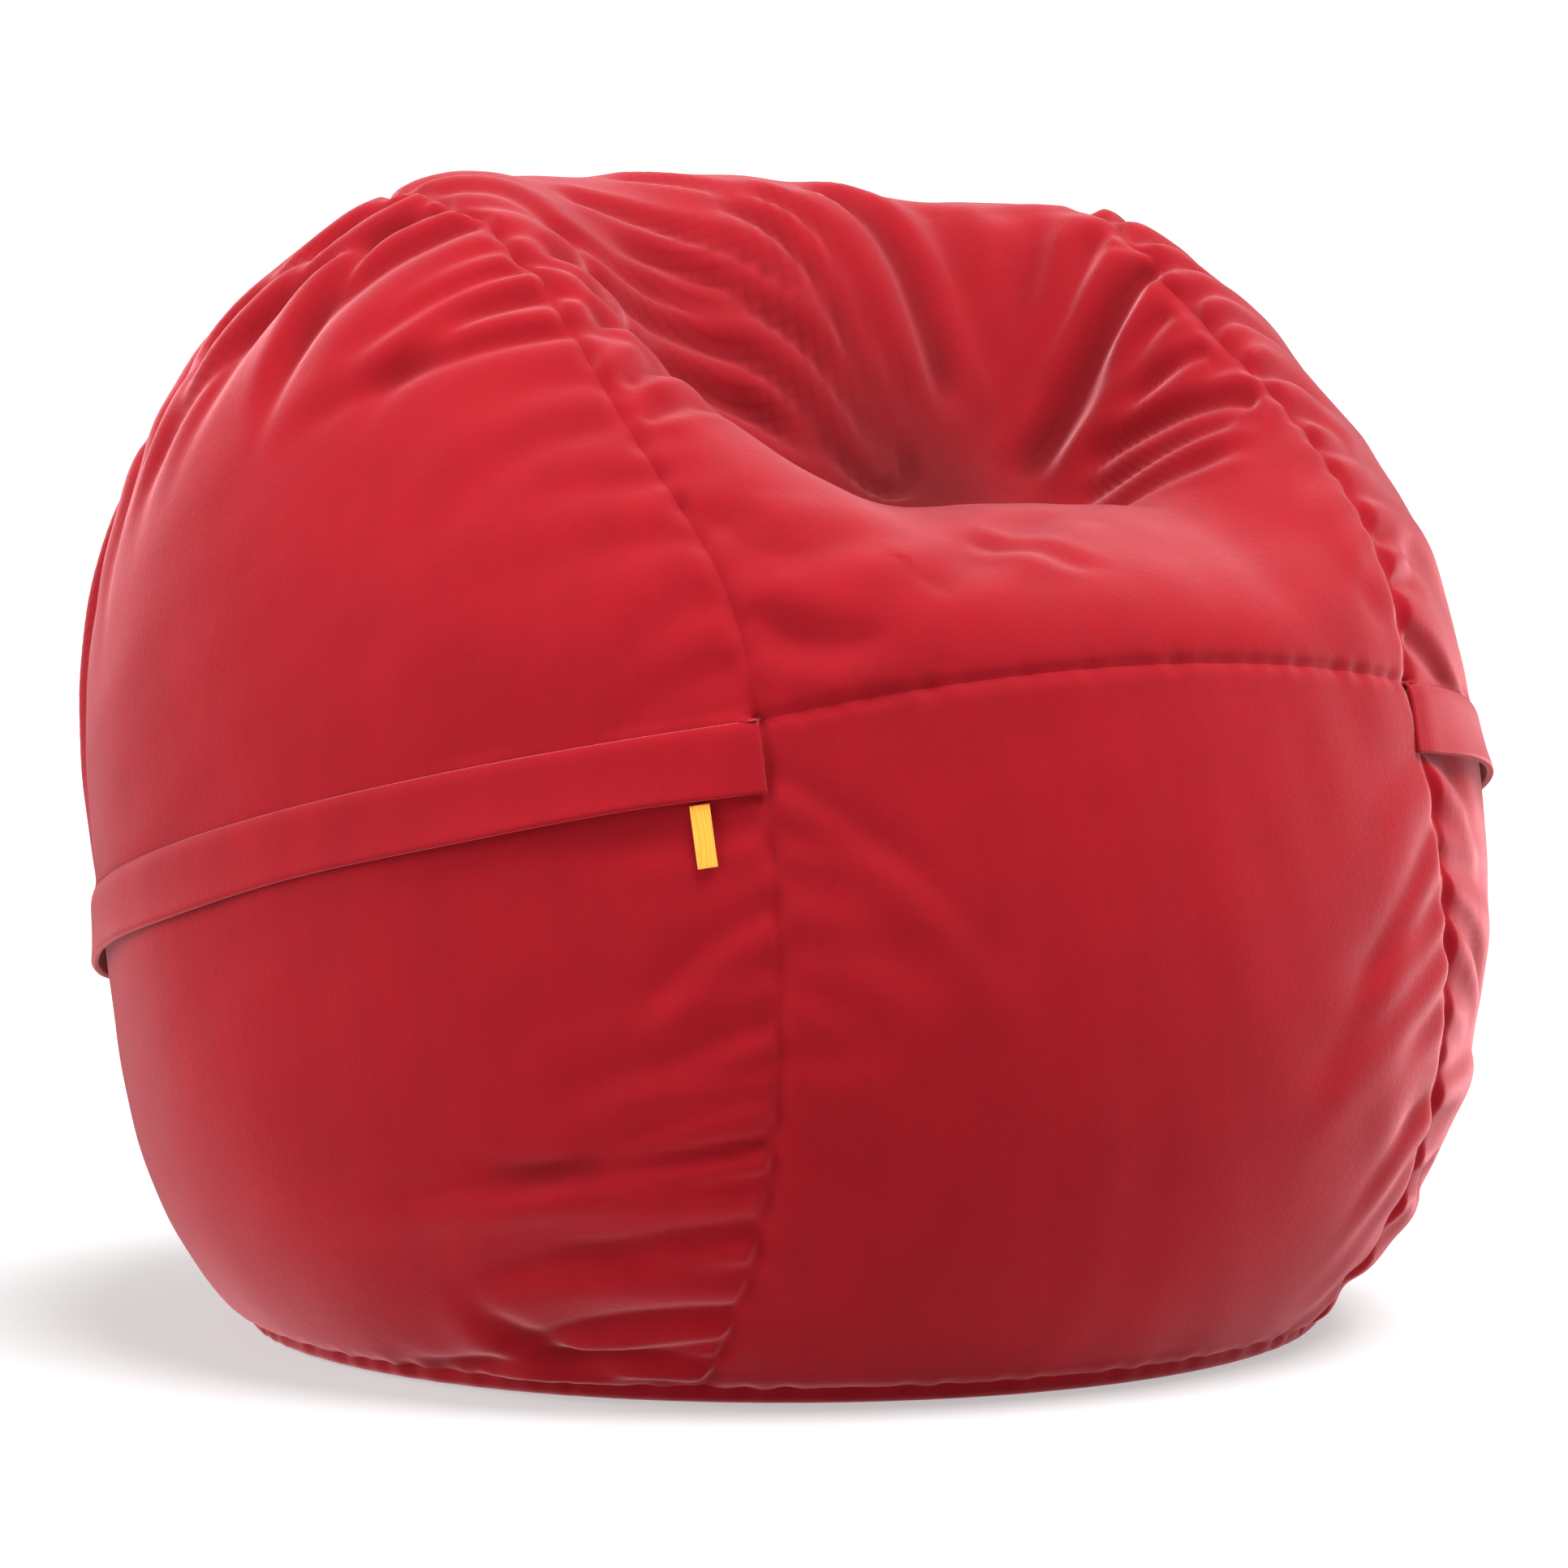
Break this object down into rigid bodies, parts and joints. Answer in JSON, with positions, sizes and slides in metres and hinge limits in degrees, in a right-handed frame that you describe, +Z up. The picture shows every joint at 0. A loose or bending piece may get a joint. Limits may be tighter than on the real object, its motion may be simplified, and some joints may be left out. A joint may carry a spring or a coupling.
{
  "type": "bean bag chair",
  "caption": "Round bean bag chair with a moulded seat hollow and back, a removable cover with a hidden zip under a flap, and a zipped liner of beads.",
  "frame": {"origin": "on the floor, under the middle of the chair", "axes": "+Z up; the front of the seat faces -Y; +X is to the left of a person sitting in it"},
  "size_m": [0.9592, 0.9607, 0.7763],
  "materials": {
    "cover_fabric": "matte",
    "cover_zip_tape": "matte",
    "cover_zip_coil": "satin",
    "zip_metal": "satin",
    "ribbon": "satin",
    "liner_fabric": "matte",
    "liner_zip_tape": "matte",
    "liner_zip_coil": "satin",
    "beads": "matte"
  },
  "bodies": {
    "bag": {"seat_panel": "cover_fabric", "left_upper_panel": "cover_fabric", "right_upper_panel": "cover_fabric", "front_panel": "cover_fabric", "left_lower_panel": "cover_fabric", "right_lower_panel": "cover_fabric", "rear_lower_panel": "cover_fabric", "base_panel": "cover_fabric", "zip_flap": "cover_fabric", "zip_tape_upper": "cover_zip_tape", "zip_tape_lower": "cover_zip_tape", "zip_coil_upper": "cover_zip_coil", "zip_coil_lower": "cover_zip_coil", "zip_end_stops": "zip_metal", "liner_zip_end_stops": "zip_metal", "liner_left_side": "liner_fabric", "liner_right_side": "liner_fabric", "liner_centre_band": "liner_fabric", "liner_base": "liner_fabric", "liner_zip_tape_front": "liner_zip_tape", "liner_zip_tape_rear": "liner_zip_tape", "liner_zip_coil_front": "liner_zip_coil", "liner_zip_coil_rear": "liner_zip_coil", "bead_filling": "beads"},
    "cover_slider": {"zip_slider": "zip_metal"},
    "liner_slider": {"liner_zip_slider": "zip_metal"},
    "label": {"ribbon_label": "ribbon"}
  },
  "joints": [
    {"name": "cover_zip", "type": "hinge", "parent": "bag", "child": "cover_slider", "pos_m": [0, -0.00599, 0.32883], "axis": [0, -0.2723, -0.9622], "range_deg": [0, 285.5]},
    {"name": "liner_zip", "type": "slide", "parent": "bag", "child": "liner_slider", "axis": [-1, 0, 0], "range_m": [0, 0.307]},
    {"name": "label_flip", "type": "hinge", "parent": "bag", "child": "label", "pos_m": [-0.27796, -0.38133, 0.4075], "axis": [-0.809, 0.5656, -0.16], "range_deg": [0, 90]}
  ]
}
